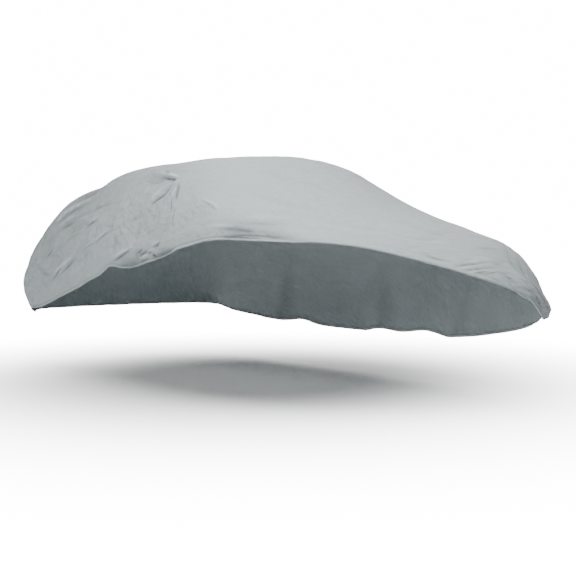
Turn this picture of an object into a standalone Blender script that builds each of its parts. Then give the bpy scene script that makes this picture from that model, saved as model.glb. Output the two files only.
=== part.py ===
"""A grey non-woven car cover, drawn over a compact hatchback from the rear and the left side.

The cover is one closed sheet of cloth, hollow underneath. Its right edge is drawn up: from the rear wheel it climbs
to the foot of the door mirror, crosses the bonnet and ends at the grille, so the front right quarter stays open.
The car itself is not modelled.

All sizes are in metres. The tables give X forwards of the front axle, Y to the car's left and Z above the road.
The finished cloth is then moved so that the origin lies on its inner face, under the crown of the roof.
"""

from collections import namedtuple

import bmesh
import bpy
import numpy as np

# Driving dimensions
CLOTH_THICKNESS = 0.0025
HEM_THICKNESS = 0.005
HEM_WIDTH = 0.025
CROWN_X = -1.35
CROWN_Z = 1.5575

# The grid of the cloth. There is a row of cells between each hoop and the next, split as the table says. Across the
# car the cells are finer on the right, which carries most of the folds.
CELLS_BETWEEN_HOOPS = (3, 3, 4, 5, 7, 8, 8, 7, 6, 5, 4, 3, 3, 2, 2)
CELLS_RIGHT = 23
CELLS_LEFT = 17
RIGHT_SHARE = 0.42
CURVE_SAMPLES = 81

# The form that the cloth takes. Each hoop runs over the car from the right foot to the left one, through the ridge
# on the centreline, the shoulder where the roof or bonnet turns down, the waist at the body's widest, and the foot.
# Both sides share these sizes. The lift says how much of the hoop's right end is left bare by the drawn-up edge.
Hoop = namedtuple(
    "Hoop",
    "ridge_x ridge_z shoulder_x shoulder_y shoulder_z waist_x waist_y waist_z foot_x foot_y foot_z lift",
)
HOOPS = (
    Hoop(-3.44, 0.42, -3.42, 0.42, 0.42, -3.33, 0.71, 0.42, -3.17, 0.85, 0.42, 0.00),
    Hoop(-3.58, 0.64, -3.56, 0.46, 0.64, -3.43, 0.80, 0.60, -3.08, 0.90, 0.40, 0.08),
    Hoop(-3.55, 0.92, -3.52, 0.48, 0.92, -3.35, 0.83, 0.80, -2.92, 0.91, 0.37, 0.12),
    Hoop(-3.42, 1.24, -3.36, 0.51, 1.20, -3.13, 0.85, 0.86, -2.74, 0.92, 0.35, 0.17),
    Hoop(-3.14, 1.40, -3.08, 0.53, 1.33, -2.85, 0.87, 0.88, -2.52, 0.92, 0.33, 0.24),
    Hoop(-2.72, 1.46, -2.68, 0.55, 1.38, -2.52, 0.90, 0.90, -2.25, 0.92, 0.32, 0.31),
    Hoop(-2.20, 1.53, -2.18, 0.57, 1.46, -2.10, 0.92, 0.92, -1.92, 0.93, 0.31, 0.40),
    Hoop(-1.60, 1.55, -1.60, 0.59, 1.465, -1.58, 0.93, 0.94, -1.50, 0.93, 0.30, 0.50),
    Hoop(-1.02, 1.545, -1.04, 0.60, 1.462, -1.05, 0.93, 0.96, -1.05, 0.93, 0.30, 0.57),
    Hoop(-0.50, 1.36, -0.56, 0.66, 1.27, -0.58, 0.94, 0.96, -0.60, 0.93, 0.30, 0.67),
    Hoop(-0.08, 1.15, -0.14, 0.71, 1.11, -0.15, 0.93, 0.88, -0.20, 0.92, 0.32, 0.66),
    Hoop(0.28, 1.01, 0.20, 0.74, 0.99, 0.13, 0.92, 0.78, 0.08, 0.91, 0.36, 0.67),
    Hoop(0.58, 0.88, 0.48, 0.72, 0.87, 0.38, 0.89, 0.70, 0.29, 0.90, 0.40, 1.00),
    Hoop(0.80, 0.76, 0.65, 0.67, 0.70, 0.53, 0.83, 0.62, 0.42, 0.89, 0.44, 1.17),
    Hoop(0.86, 0.66, 0.74, 0.62, 0.60, 0.62, 0.81, 0.56, 0.48, 0.88, 0.48, 1.44),
    Hoop(0.84, 0.54, 0.73, 0.60, 0.51, 0.63, 0.79, 0.53, 0.53, 0.87, 0.52, 1.60),
)

# Folds and creases, laid along a bent line from a through b to c. The rise is how far the cloth stands out from the
# smooth form at each of the three points, or how far it is sunk where the rise is negative.
Fold = namedtuple("Fold", "name ax ay az rise_a bx by bz rise_b cx cy cz rise_c width")
FOLDS = (
    Fold("pucker_ridge", -1.24, -0.71, 1.38, 0.028, -1.56, -0.63, 1.45, 0.034, -1.96, -0.50, 1.50, 0.000, 0.080),
    Fold("pucker_hollow", -1.28, -0.74, 1.35, -0.024, -1.50, -0.71, 1.37, -0.038, -1.88, -0.66, 1.40, 0.000, 0.085),
    Fold("pucker_ray", -1.26, -0.75, 1.35, -0.012, -1.30, -0.79, 1.28, -0.022, -1.40, -0.86, 1.16, 0.000, 0.040),
    Fold("pucker_ray_ridge", -1.22, -0.76, 1.33, 0.008, -1.20, -0.82, 1.23, 0.014, -1.24, -0.88, 1.12, 0.000, 0.040),
    Fold("seam_ridge", -1.20, -0.73, 1.36, 0.012, -1.08, -0.81, 1.25, 0.018, -0.99, -0.90, 1.07, 0.010, 0.055),
    Fold("seam_hollow", -1.34, -0.84, 1.22, -0.020, -1.42, -0.90, 1.08, -0.036, -1.34, -0.93, 0.97, -0.012, 0.150),
    Fold("side_ridge", -1.58, -0.87, 1.13, 0.000, -1.92, -0.90, 1.01, 0.022, -2.34, -0.92, 0.86, 0.026, 0.060),
    Fold("side_ridge_low", -2.37, -0.92, 0.85, 0.010, -2.57, -0.92, 0.77, 0.030, -2.84, -0.91, 0.61, 0.006, 0.050),
    Fold("side_hollow_low", -2.30, -0.92, 0.81, 0.000, -2.48, -0.93, 0.73, -0.026, -2.72, -0.92, 0.60, 0.000, 0.055),
    Fold("hem_crease", -1.34, -0.93, 0.94, 0.000, -1.52, -0.94, 0.90, 0.022, -1.70, -0.95, 0.84, 0.030, 0.045),
    Fold("hem_pocket", -1.18, -0.94, 0.90, -0.008, -1.44, -0.95, 0.84, -0.034, -1.66, -0.95, 0.80, -0.018, 0.055),
    Fold("rail_ridge", -2.12, -0.64, 1.40, 0.000, -2.50, -0.66, 1.32, 0.024, -2.93, -0.68, 1.21, 0.020, 0.060),
    Fold("rail_ridge_low", -2.98, -0.69, 1.18, 0.010, -3.06, -0.74, 1.10, 0.016, -3.10, -0.82, 0.94, 0.000, 0.060),
    Fold("rail_hollow", -2.08, -0.71, 1.33, 0.000, -2.42, -0.74, 1.25, -0.022, -2.86, -0.74, 1.15, -0.012, 0.055),
    Fold("quarter_ridge", -2.06, -0.77, 1.27, 0.000, -2.42, -0.79, 1.18, 0.018, -2.82, -0.79, 1.08, 0.010, 0.060),
    Fold("quarter_hollow", -2.08, -0.83, 1.15, 0.000, -2.40, -0.84, 1.09, -0.022, -2.83, -0.82, 1.03, -0.016, 0.065),
    Fold("corner_hollow", -2.90, -0.82, 1.00, -0.006, -3.02, -0.83, 0.95, -0.018, -3.12, -0.86, 0.82, 0.000, 0.060),
    Fold("corner_dent", -2.74, -0.87, 0.95, 0.000, -2.85, -0.87, 0.87, -0.018, -2.98, -0.88, 0.77, 0.000, 0.050),
    Fold("mirror_crumple", -1.00, -0.93, 1.00, 0.010, -1.12, -0.93, 0.95, 0.018, -1.30, -0.93, 0.92, 0.000, 0.045),
    Fold("mirror_tuck", -0.98, -0.94, 0.95, -0.012, -1.10, -0.94, 0.91, -0.016, -1.24, -0.95, 0.88, 0.000, 0.040),
    Fold("tent_streak", -0.88, -0.80, 1.25, 0.000, -0.66, -0.83, 1.19, 0.012, -0.48, -0.86, 1.13, 0.000, 0.050),
    Fold("bonnet_crease", -0.40, -0.92, 0.99, -0.006, 0.14, -0.78, 1.00, -0.018, 0.50, -0.40, 0.91, 0.000, 0.050),
    Fold("screen_streak", -0.80, -0.44, 1.44, 0.000, -0.53, -0.31, 1.35, 0.010, -0.28, -0.14, 1.24, 0.000, 0.070),
    Fold("cowl_streak", -0.54, -0.79, 1.20, 0.000, -0.20, -0.64, 1.14, -0.012, 0.08, -0.36, 1.07, 0.000, 0.080),
    Fold("nose_ridge", 0.58, 0.43, 0.86, 0.000, 0.70, 0.42, 0.78, 0.014, 0.79, 0.41, 0.66, 0.012, 0.055),
    Fold("nose_hollow", 0.66, 0.25, 0.83, 0.000, 0.77, 0.28, 0.75, -0.014, 0.82, 0.34, 0.68, -0.010, 0.050),
    Fold("left_mirror", -0.64, 0.94, 1.00, 0.065, -0.56, 0.95, 1.01, 0.080, -0.47, 0.95, 0.99, 0.055, 0.150),
    Fold("left_mirror_drape", -0.58, 0.95, 0.92, 0.020, -0.62, 0.96, 0.66, 0.026, -0.66, 0.94, 0.42, 0.020, 0.100),
    Fold("left_fold_a", -2.72, 0.90, 0.98, 0.000, -2.66, 0.93, 0.66, 0.024, -2.60, 0.92, 0.38, 0.030, 0.110),
    Fold("left_fold_b", -2.10, 0.93, 1.02, 0.000, -2.14, 0.95, 0.66, -0.026, -2.20, 0.93, 0.36, -0.032, 0.120),
    Fold("left_fold_c", -1.52, 0.93, 0.98, 0.000, -1.46, 0.96, 0.64, 0.022, -1.36, 0.94, 0.34, 0.034, 0.120),
    Fold("left_fold_d", -0.98, 0.94, 0.92, 0.000, -1.00, 0.95, 0.62, -0.024, -0.98, 0.93, 0.34, -0.030, 0.110),
    Fold("left_fold_e", -0.10, 0.92, 0.86, 0.000, -0.14, 0.94, 0.60, -0.022, -0.20, 0.92, 0.36, -0.028, 0.100),
    Fold("tail_edge", -3.50, -0.50, 0.96, 0.010, -3.57, 0.00, 0.98, 0.024, -3.50, 0.52, 0.94, 0.012, 0.080),
    Fold("tail_hollow_a", -3.46, -0.26, 1.08, 0.000, -3.58, -0.30, 0.78, -0.026, -3.54, -0.34, 0.52, -0.012, 0.100),
    Fold("tail_hollow_b", -3.44, 0.30, 1.10, 0.000, -3.58, 0.24, 0.78, -0.022, -3.54, 0.20, 0.54, -0.014, 0.110),
)

# Short changes of the two long edges: where along the car, how far the edge is drawn up there, and over what length.
Wave = namedtuple("Wave", "x rise width")
RIGHT_WAVES = (
    Wave(-2.30, -0.008, 0.12),
    Wave(-1.74, 0.036, 0.10),
    Wave(-1.46, -0.012, 0.10),
    Wave(-0.84, 0.010, 0.10),
)
LEFT_WAVES = (
    Wave(-2.66, -0.022, 0.16),
    Wave(-2.14, 0.030, 0.18),
    Wave(-1.46, -0.026, 0.18),
    Wave(-0.98, 0.026, 0.16),
    Wave(-0.55, 0.040, 0.20),
    Wave(-0.14, -0.018, 0.16),
)


def spline_matrix(count, at):
    """Weights that turn `count` evenly spaced values into a smooth curve through them, read at places `at`."""
    def basis(t):
        t = np.abs(t)
        return np.where(t < 1, 2 / 3 - t**2 + t**3 / 2, np.where(t < 2, (2 - t) ** 3 / 6, 0))

    knots = np.arange(-1, count + 1)
    places = np.arange(count)
    rows = basis(places[:, None] - knots[None, :])
    first, last = np.zeros(count + 2), np.zeros(count + 2)
    first[:3] = last[-3:] = 1, -2, 1
    solve = np.linalg.inv(np.vstack([first, rows, last]))[:, 1:-1]
    return basis(np.asarray(at, float)[:, None] - knots[None, :]) @ solve


def hoop_curve(hoop):
    """Points along one hoop from the right foot to the left one."""
    ridge = (hoop.ridge_x, 0, hoop.ridge_z)
    half = [
        (hoop.shoulder_x, hoop.shoulder_y, hoop.shoulder_z),
        (hoop.waist_x, hoop.waist_y, hoop.waist_z),
        (hoop.foot_x, hoop.foot_y, hoop.foot_z),
    ]
    right = [(x, -y, z) for x, y, z in reversed(half)]
    corners = np.array([*right, ridge, *half])
    at = np.linspace(0, len(corners) - 1, CURVE_SAMPLES)
    return spline_matrix(len(corners), at) @ corners


def edge_waves(waves, x):
    return sum(wave.rise * np.exp(-(((x - wave.x) / wave.width) ** 2)) for wave in waves)


def places_across(start, end):
    """Distances from the right foot at which the cloth's cells lie, with a hem cell at each end."""
    middle = start + RIGHT_SHARE * (end - start)
    right = np.linspace(start + HEM_WIDTH, middle, CELLS_RIGHT)
    left = np.linspace(middle, end - HEM_WIDTH, CELLS_LEFT)
    return np.concatenate([[start], right, left[1:], [end]])


def smooth_form():
    """The cloth without its folds as a grid of points: first index along the car, second across it."""
    places = [k + np.arange(n) / n for k, n in enumerate(CELLS_BETWEEN_HOOPS)]
    along = np.concatenate([*places, [len(HOOPS) - 1]])
    rows = spline_matrix(len(HOOPS), along) @ np.array(HOOPS)
    grid = []
    for row in rows:
        hoop = Hoop(*row)
        curve = hoop_curve(hoop)
        run = np.concatenate([[0], np.cumsum(np.linalg.norm(np.diff(curve, axis=0), axis=1))])
        start = max(hoop.lift + edge_waves(RIGHT_WAVES, hoop.waist_x), 0)
        end = run[-1] - max(edge_waves(LEFT_WAVES, hoop.waist_x), 0)
        across = places_across(start, end)
        grid.append(np.stack([np.interp(across, run, curve[:, k]) for k in range(3)], axis=1))
    grid = np.array(grid)
    for edge, inner in ((0, 1), (-1, -2)):
        step = grid[inner] - grid[edge]
        grid[inner] = grid[edge] + step * HEM_WIDTH / np.linalg.norm(step, axis=1, keepdims=True)
    return grid


def outward(grid):
    """Unit normals of the grid, pointing away from the car."""
    normal = np.cross(np.gradient(grid, axis=0), np.gradient(grid, axis=1))
    return normal / np.linalg.norm(normal, axis=2, keepdims=True)


def fold_rise(fold, grid):
    """How far one fold moves each point of the grid."""
    a, b, c = np.array([fold[1:4], fold[5:8], fold[9:12]])
    nearest = np.full(grid.shape[:2], np.inf)
    rise = np.zeros(grid.shape[:2])
    for start, end, rise_start, rise_end in ((a, b, fold.rise_a, fold.rise_b), (b, c, fold.rise_b, fold.rise_c)):
        part = np.clip((grid - start) @ (end - start) / ((end - start) @ (end - start)), 0, 1)
        gap = np.linalg.norm(grid - start - part[..., None] * (end - start), axis=2)
        here = rise_start + part * (rise_end - rise_start)
        rise = np.where(gap < nearest, here, rise)
        nearest = np.minimum(gap, nearest)
    return rise * np.exp(-((nearest / fold.width) ** 2))


def sheet_points():
    grid = smooth_form()
    rise = sum(fold_rise(fold, grid) for fold in FOLDS)
    return grid + rise[..., None] * outward(grid)


def make_cover(material):
    points = sheet_points() - (CROWN_X, 0, CROWN_Z)
    rows, columns = points.shape[:2]
    bm = bmesh.new()
    bmesh.ops.create_grid(bm, x_segments=rows - 1, y_segments=columns - 1, size=0.5)
    bm.verts.ensure_lookup_table()
    hem = []
    for vert in bm.verts:
        i = round((vert.co.x + 0.5) * (rows - 1))
        j = round((vert.co.y + 0.5) * (columns - 1))
        vert.co = points[i, j]
        if min(i, j, rows - 1 - i, columns - 1 - j) < 1:
            hem.append(vert.index)
    mesh = bpy.data.meshes.new("cover")
    bm.to_mesh(mesh)
    bm.free()
    mesh.shade_smooth()
    mesh.materials.append(material)
    cover = bpy.data.objects.new("cover", mesh)
    cover.vertex_groups.new(name="hem").add(hem, 1, "ADD")
    thick = cover.modifiers.new("cloth thickness", "SOLIDIFY")
    thick.thickness = HEM_THICKNESS
    thick.offset = -1
    thick.vertex_group = "hem"
    thick.thickness_vertex_group = CLOTH_THICKNESS / HEM_THICKNESS
    return cover


def cloth_material():
    material = bpy.data.materials.new("grey_cloth")
    material.use_nodes = True
    shader = material.node_tree.nodes["Principled BSDF"]
    shader.inputs["Base Color"].default_value = (0.46, 0.50, 0.51, 1)
    shader.inputs["Roughness"].default_value = 0.9
    return material


def main():
    for obj in list(bpy.data.objects):
        bpy.data.objects.remove(obj)
    collection = bpy.data.collections.new("car_cover")
    bpy.context.scene.collection.children.link(collection)
    collection.objects.link(make_cover(cloth_material()))


main()
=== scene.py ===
"""Looks for the grey car cover: the cloth with its folds, creases and turned hem, the sewing, and a plain studio.

All sizes are in metres. The cloth is laid out with X forwards, Y to the left and Z upwards from the ground. It is
then moved so that the origin lies under its crown.
"""

import math
from collections import namedtuple

import bmesh
import bpy
import numpy as np
from mathutils import Matrix, Vector, noise


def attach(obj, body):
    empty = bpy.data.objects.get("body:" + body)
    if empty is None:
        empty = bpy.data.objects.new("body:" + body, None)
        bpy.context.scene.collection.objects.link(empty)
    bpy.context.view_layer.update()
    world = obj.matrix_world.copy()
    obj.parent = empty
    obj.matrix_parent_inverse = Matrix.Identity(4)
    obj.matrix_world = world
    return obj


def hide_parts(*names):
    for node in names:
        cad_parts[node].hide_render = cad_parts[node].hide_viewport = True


def rows_of(kind, *rows):
    """A table: every row of plain values as one named kind of thing."""
    return tuple(kind(*row) for row in rows)


# The sheet: where its crown lies in the layout
CROWN = np.array((-1.35, 0, 1.5575))

# The layout of the cloth's cells before it is bent. There is a row of cells between each hoop and the next, split as
# the table says. The cells are finer at the rear and on the right, which carry most of the folds.
CELLS_BETWEEN_HOOPS = (12, 10, 13, 16, 22, 26, 26, 23, 20, 16, 13, 10, 9, 7, 9)
CELLS_RIGHT = 64
CELLS_LEFT = 40
RIGHT_SHARE = 0.42

# How finely the smooth form is measured: round and along it, at its two ends, and for the way that it faces
TABLE_STEPS = 240
END_STEPS = 60
NORMAL_STEP = 0.01

# The sewn hem, followed from its free end inside the cover, round the edge and out to the open cloth: how far each
# point lies from the edge, and how far it stands out. The edge is rolled round its elastic, and the sewing draws the
# cloth in behind the roll.
HEM_ROLL = (
    (0.0230, -0.0020),
    (0.0165, -0.0024),
    (0.0110, -0.0046),
    (0.0050, -0.0054),
    (0.0012, -0.0042),
    (0.0000, -0.0014),
    (0.0010, 0.0012),
    (0.0040, 0.0036),
    (0.0080, 0.0044),
    (0.0120, 0.0028),
    (0.0165, -0.0020),
    (0.0210, -0.0006),
    (0.0270, 0.0008),
    (0.0350, 0.0000),
)

# The stitches, how much painted shade darkens the groove beside the sewn line and where, and the same for the
# painted highlight that makes the rolled edge pale
STITCH_ROW = 0.0165
STITCH_PITCH = 0.0085
STITCH_LENGTH = 0.0066
STITCH_HALF = 0.0008
SEWN_SHADE = 0.5
SEWN_OFFSET = 0.002
SEWN_SPREAD = 0.005
EDGE_HIGHLIGHT = 0.2
EDGE_BAND = (0.0120, 0.0060)

# How sharp the creases are and how they taper, which of them get the finest cells by their width and rise, and above
# what width a crease is smooth enough for the plain cells
CREASE_SHARPNESS = 1.4
CREASE_TAPER = 1.2
SHARP_WIDTH = 0.012
SHARP_RISE = 0.006
SOFT_WIDTH = 0.016

# How far beside a crease the cells are finer, past a share of its width, and how far past its width they are finest
FINE_SHARE = 1.2
FINE_EXTRA = 0.010
FINEST_EXTRA = 0.003

# The slopes between which a crease of the side view begins and is full, and one of the other two views, and the
# least slope that gets finer cells
SIDE_FACING = (0.10, 0.4)
OTHER_FACING = (0.15, 0.5)
LEAST_FACING = 0.1

# How deep a crease or a main fold is when its painted shade is full, and how much a main fold's painted shade counts
CREASE_DEPTH = 0.010
HOLLOW_DEPTH = 0.042
HOLLOW_SHADE = 0.6

# The form that the cloth takes. Each hoop runs over the cover from the right foot to the left one, through the ridge
# on the centreline, the shoulder where the top turns down, the waist where it is widest, and the foot. Both sides
# share these sizes. The lift says how much of the hoop's right end is left bare by the drawn-up edge.
Hoop = namedtuple(
    "Hoop",
    "ridge_x ridge_z shoulder_x shoulder_y shoulder_z waist_x waist_y waist_z foot_x foot_y foot_z lift",
)
HOOPS = rows_of(
    Hoop,
    (-3.44, 0.42, -3.42, 0.42, 0.42, -3.33, 0.71, 0.42, -3.17, 0.85, 0.42, 0),
    (-3.58, 0.64, -3.56, 0.46, 0.64, -3.43, 0.8, 0.6, -3.08, 0.9, 0.4, 0.08),
    (-3.55, 0.92, -3.52, 0.48, 0.92, -3.35, 0.83, 0.8, -2.92, 0.91, 0.37, 0.12),
    (-3.42, 1.24, -3.36, 0.51, 1.2, -3.13, 0.85, 0.86, -2.74, 0.92, 0.35, 0.17),
    (-3.14, 1.4, -3.08, 0.53, 1.33, -2.85, 0.87, 0.88, -2.52, 0.92, 0.33, 0.24),
    (-2.72, 1.46, -2.68, 0.55, 1.38, -2.52, 0.9, 0.9, -2.25, 0.92, 0.32, 0.31),
    (-2.2, 1.53, -2.18, 0.57, 1.46, -2.1, 0.92, 0.92, -1.92, 0.93, 0.31, 0.4),
    (-1.6, 1.55, -1.6, 0.59, 1.465, -1.58, 0.93, 0.94, -1.5, 0.93, 0.3, 0.5),
    (-1.02, 1.545, -1.04, 0.6, 1.462, -1.05, 0.93, 0.96, -1.05, 0.93, 0.3, 0.57),
    (-0.5, 1.36, -0.56, 0.66, 1.27, -0.58, 0.94, 0.96, -0.6, 0.93, 0.3, 0.67),
    (-0.08, 1.15, -0.14, 0.71, 1.11, -0.15, 0.93, 0.88, -0.2, 0.92, 0.32, 0.66),
    (0.28, 1.01, 0.2, 0.74, 0.99, 0.13, 0.92, 0.78, 0.08, 0.91, 0.36, 0.67),
    (0.58, 0.88, 0.48, 0.72, 0.87, 0.38, 0.89, 0.7, 0.29, 0.9, 0.4, 1),
    (0.8, 0.76, 0.65, 0.67, 0.7, 0.53, 0.83, 0.62, 0.42, 0.89, 0.44, 1.17),
    (0.86, 0.66, 0.74, 0.62, 0.6, 0.62, 0.81, 0.56, 0.48, 0.88, 0.48, 1.44),
    (0.84, 0.54, 0.73, 0.6, 0.51, 0.63, 0.79, 0.53, 0.53, 0.87, 0.52, 1.6),
)

# The main folds, laid along a bent line from a through b to c. The rise is how far the cloth stands out from the
# smooth form at each of the three points, or how far it is sunk where the rise is negative.
Fold = namedtuple("Fold", "name ax ay az rise_a bx by bz rise_b cx cy cz rise_c width")
FOLDS = rows_of(
    Fold,
    ("pucker_ridge", -1.24, -0.71, 1.38, 0.006, -1.56, -0.63, 1.45, 0.004, -1.96, -0.5, 1.5, 0, 0.07),
    ("pucker_hollow", -1.3, -0.73, 1.36, -0.004, -1.54, -0.69, 1.39, -0.009, -1.9, -0.64, 1.42, 0, 0.07),
    ("pucker_ray", -1.26, -0.75, 1.35, -0.004, -1.3, -0.79, 1.28, -0.008, -1.4, -0.86, 1.16, 0, 0.05),
    ("pucker_ray_ridge", -1.22, -0.76, 1.33, 0.003, -1.2, -0.82, 1.23, 0.006, -1.24, -0.88, 1.12, 0, 0.045),
    ("seam_ridge", -1.2, -0.73, 1.36, 0.006, -1.08, -0.81, 1.25, 0.01, -0.99, -0.9, 1.07, 0.006, 0.055),
    ("seam_hollow", -1.34, -0.84, 1.22, -0.01, -1.42, -0.9, 1.08, -0.02, -1.34, -0.93, 0.97, -0.006, 0.15),
    ("side_ridge", -1.58, -0.87, 1.13, 0, -1.92, -0.9, 1.01, 0.004, -2.34, -0.92, 0.86, 0.005, 0.06),
    ("side_ridge_low", -2.37, -0.92, 0.85, 0.002, -2.57, -0.92, 0.77, 0.006, -2.84, -0.91, 0.61, 0.002, 0.05),
    ("side_hollow_low", -2.3, -0.92, 0.81, 0, -2.48, -0.93, 0.73, -0.005, -2.72, -0.92, 0.6, 0, 0.055),
    ("hem_crease", -1.34, -0.93, 0.94, 0, -1.52, -0.94, 0.9, 0.007, -1.7, -0.95, 0.84, 0.01, 0.045),
    ("hem_pocket", -1.18, -0.94, 0.87, -0.014, -1.42, -0.95, 0.815, -0.046, -1.64, -0.95, 0.775, -0.03, 0.07),
    ("rail_ridge", -2.12, -0.66, 1.39, 0, -2.5, -0.7, 1.295, 0.008, -2.86, -0.72, 1.2, 0.006, 0.05),
    ("rail_ridge_low", -2.98, -0.69, 1.18, 0.006, -3.06, -0.74, 1.1, 0.008, -3.1, -0.82, 0.94, 0, 0.06),
    ("rail_hollow", -2.4, -0.66, 1.36, 0, -2.72, -0.62, 1.325, -0.014, -2.93, -0.68, 1.24, -0.006, 0.055),
    ("quarter_ridge", -2.06, -0.77, 1.27, 0, -2.42, -0.79, 1.18, 0.008, -2.82, -0.79, 1.08, 0.005, 0.06),
    ("quarter_hollow", -2.08, -0.83, 1.15, 0, -2.4, -0.84, 1.09, -0.005, -2.83, -0.82, 1.03, -0.004, 0.065),
    ("corner_hollow", -2.9, -0.82, 1, -0.003, -3.02, -0.83, 0.95, -0.009, -3.12, -0.86, 0.82, 0, 0.06),
    ("corner_dent", -2.74, -0.87, 0.95, 0, -2.85, -0.87, 0.87, -0.004, -2.98, -0.88, 0.77, 0, 0.05),
    ("peak_crumple", -1, -0.93, 1, 0, -1.12, -0.93, 0.95, 0.003, -1.3, -0.93, 0.92, 0, 0.045),
    ("hem_tuck", -0.45, -0.925, 0.985, -0.006, -0.15, -0.9, 0.985, -0.016, 0.15, -0.8, 0.972, -0.008, 0.05),
    ("peak_tuck", -0.98, -0.94, 0.95, 0, -1.1, -0.94, 0.91, -0.003, -1.24, -0.95, 0.88, 0, 0.04),
    ("tent_streak", -0.88, -0.8, 1.25, 0, -0.66, -0.83, 1.19, 0.012, -0.48, -0.86, 1.13, 0, 0.05),
    ("bonnet_crease", -0.4, -0.92, 0.99, -0.003, 0.14, -0.78, 1, -0.006, 0.5, -0.4, 0.91, 0, 0.05),
    ("screen_streak", -0.8, -0.44, 1.44, 0, -0.53, -0.31, 1.35, 0.01, -0.28, -0.14, 1.24, 0, 0.07),
    ("cowl_streak", -0.54, -0.79, 1.2, 0, -0.2, -0.64, 1.14, -0.012, 0.08, -0.36, 1.07, 0, 0.08),
    ("nose_ridge", 0.58, 0.43, 0.86, 0, 0.7, 0.42, 0.78, 0.014, 0.79, 0.41, 0.66, 0.012, 0.055),
    ("nose_hollow", 0.66, 0.25, 0.83, 0, 0.77, 0.28, 0.75, -0.014, 0.82, 0.34, 0.68, -0.01, 0.05),
    ("left_bump", -0.64, 0.94, 1, 0.065, -0.56, 0.95, 1.01, 0.08, -0.47, 0.95, 0.99, 0.055, 0.15),
    ("left_bump_drape", -0.58, 0.95, 0.92, 0.02, -0.62, 0.96, 0.66, 0.026, -0.66, 0.94, 0.42, 0.02, 0.1),
    ("left_fold_a", -2.72, 0.9, 0.98, 0, -2.66, 0.93, 0.66, 0.024, -2.6, 0.92, 0.38, 0.03, 0.11),
    ("left_fold_b", -2.1, 0.93, 1.02, 0, -2.14, 0.95, 0.66, -0.026, -2.2, 0.93, 0.36, -0.032, 0.12),
    ("left_fold_c", -1.52, 0.93, 0.98, 0, -1.46, 0.96, 0.64, 0.022, -1.36, 0.94, 0.34, 0.034, 0.12),
    ("left_fold_d", -0.98, 0.94, 0.92, 0, -1, 0.95, 0.62, -0.024, -0.98, 0.93, 0.34, -0.03, 0.11),
    ("left_fold_e", -0.1, 0.92, 0.86, 0, -0.14, 0.94, 0.6, -0.022, -0.2, 0.92, 0.36, -0.028, 0.1),
    ("tail_edge", -3.5, -0.5, 0.96, 0.01, -3.57, 0, 0.98, 0.024, -3.5, 0.52, 0.94, 0.012, 0.08),
    ("tail_hollow_a", -3.46, -0.26, 1.08, 0, -3.58, -0.3, 0.78, -0.026, -3.54, -0.34, 0.52, -0.012, 0.1),
    ("tail_hollow_b", -3.44, 0.3, 1.1, 0, -3.58, 0.24, 0.78, -0.022, -3.54, 0.2, 0.54, -0.014, 0.11),
    ("roof_rear_fill", -2.35, -0.53, 1.456, 0.007, -1.95, -0.42, 1.527, 0.004, -1.45, -0.43, 1.532, 0.006, 0.15),
    ("roof_crest_dip", -1.3, -0.42, 1.54, -0.008, -1.2, -0.34, 1.552, -0.016, -1.08, -0.2, 1.555, -0.004, 0.15),
    ("roof_far_fill", -1.1, 0.05, 1.555, 0.008, -1.02, 0.34, 1.532, 0.009, -0.85, 0.49, 1.46, 0.01, 0.15),
    ("cowl_far_dip", -0.42, 0.68, 1.22, -0.002, -0.15, 0.74, 1.105, -0.008, 0, 0.74, 1.06, -0.002, 0.13),
    ("nose_far_fill", 0.05, 0.73, 1.04, 0.004, 0.28, 0.73, 0.965, 0.014, 0.42, 0.8, 0.87, 0.004, 0.13),
    ("nose_far_dip", 0.4, 0.81, 0.88, -0.004, 0.49, 0.81, 0.805, -0.014, 0.56, 0.79, 0.735, -0.002, 0.08),
    ("tail_corner_fill", -3.38, -0.83, 0.78, 0, -3.36, -0.86, 0.64, 0.02, -3.22, -0.89, 0.5, 0.012, 0.1),
)

# Short changes of the two long edges: where along the cover, how far the edge is drawn up there, and over what length
Wave = namedtuple("Wave", "x rise width")
RIGHT_WAVES = rows_of(
    Wave,
    (-2.3, -0.008, 0.12),
    (-1.74, 0.036, 0.1),
    (-1.46, -0.006, 0.1),
    (-0.84, 0.01, 0.1),
    (0.02, 0.024, 0.17),
)
LEFT_WAVES = rows_of(
    Wave,
    (-2.66, -0.022, 0.16),
    (-2.14, 0.03, 0.18),
    (-1.46, -0.026, 0.18),
    (-0.98, 0.026, 0.16),
    (-0.55, 0.04, 0.2),
    (-0.14, -0.018, 0.16),
)

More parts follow.
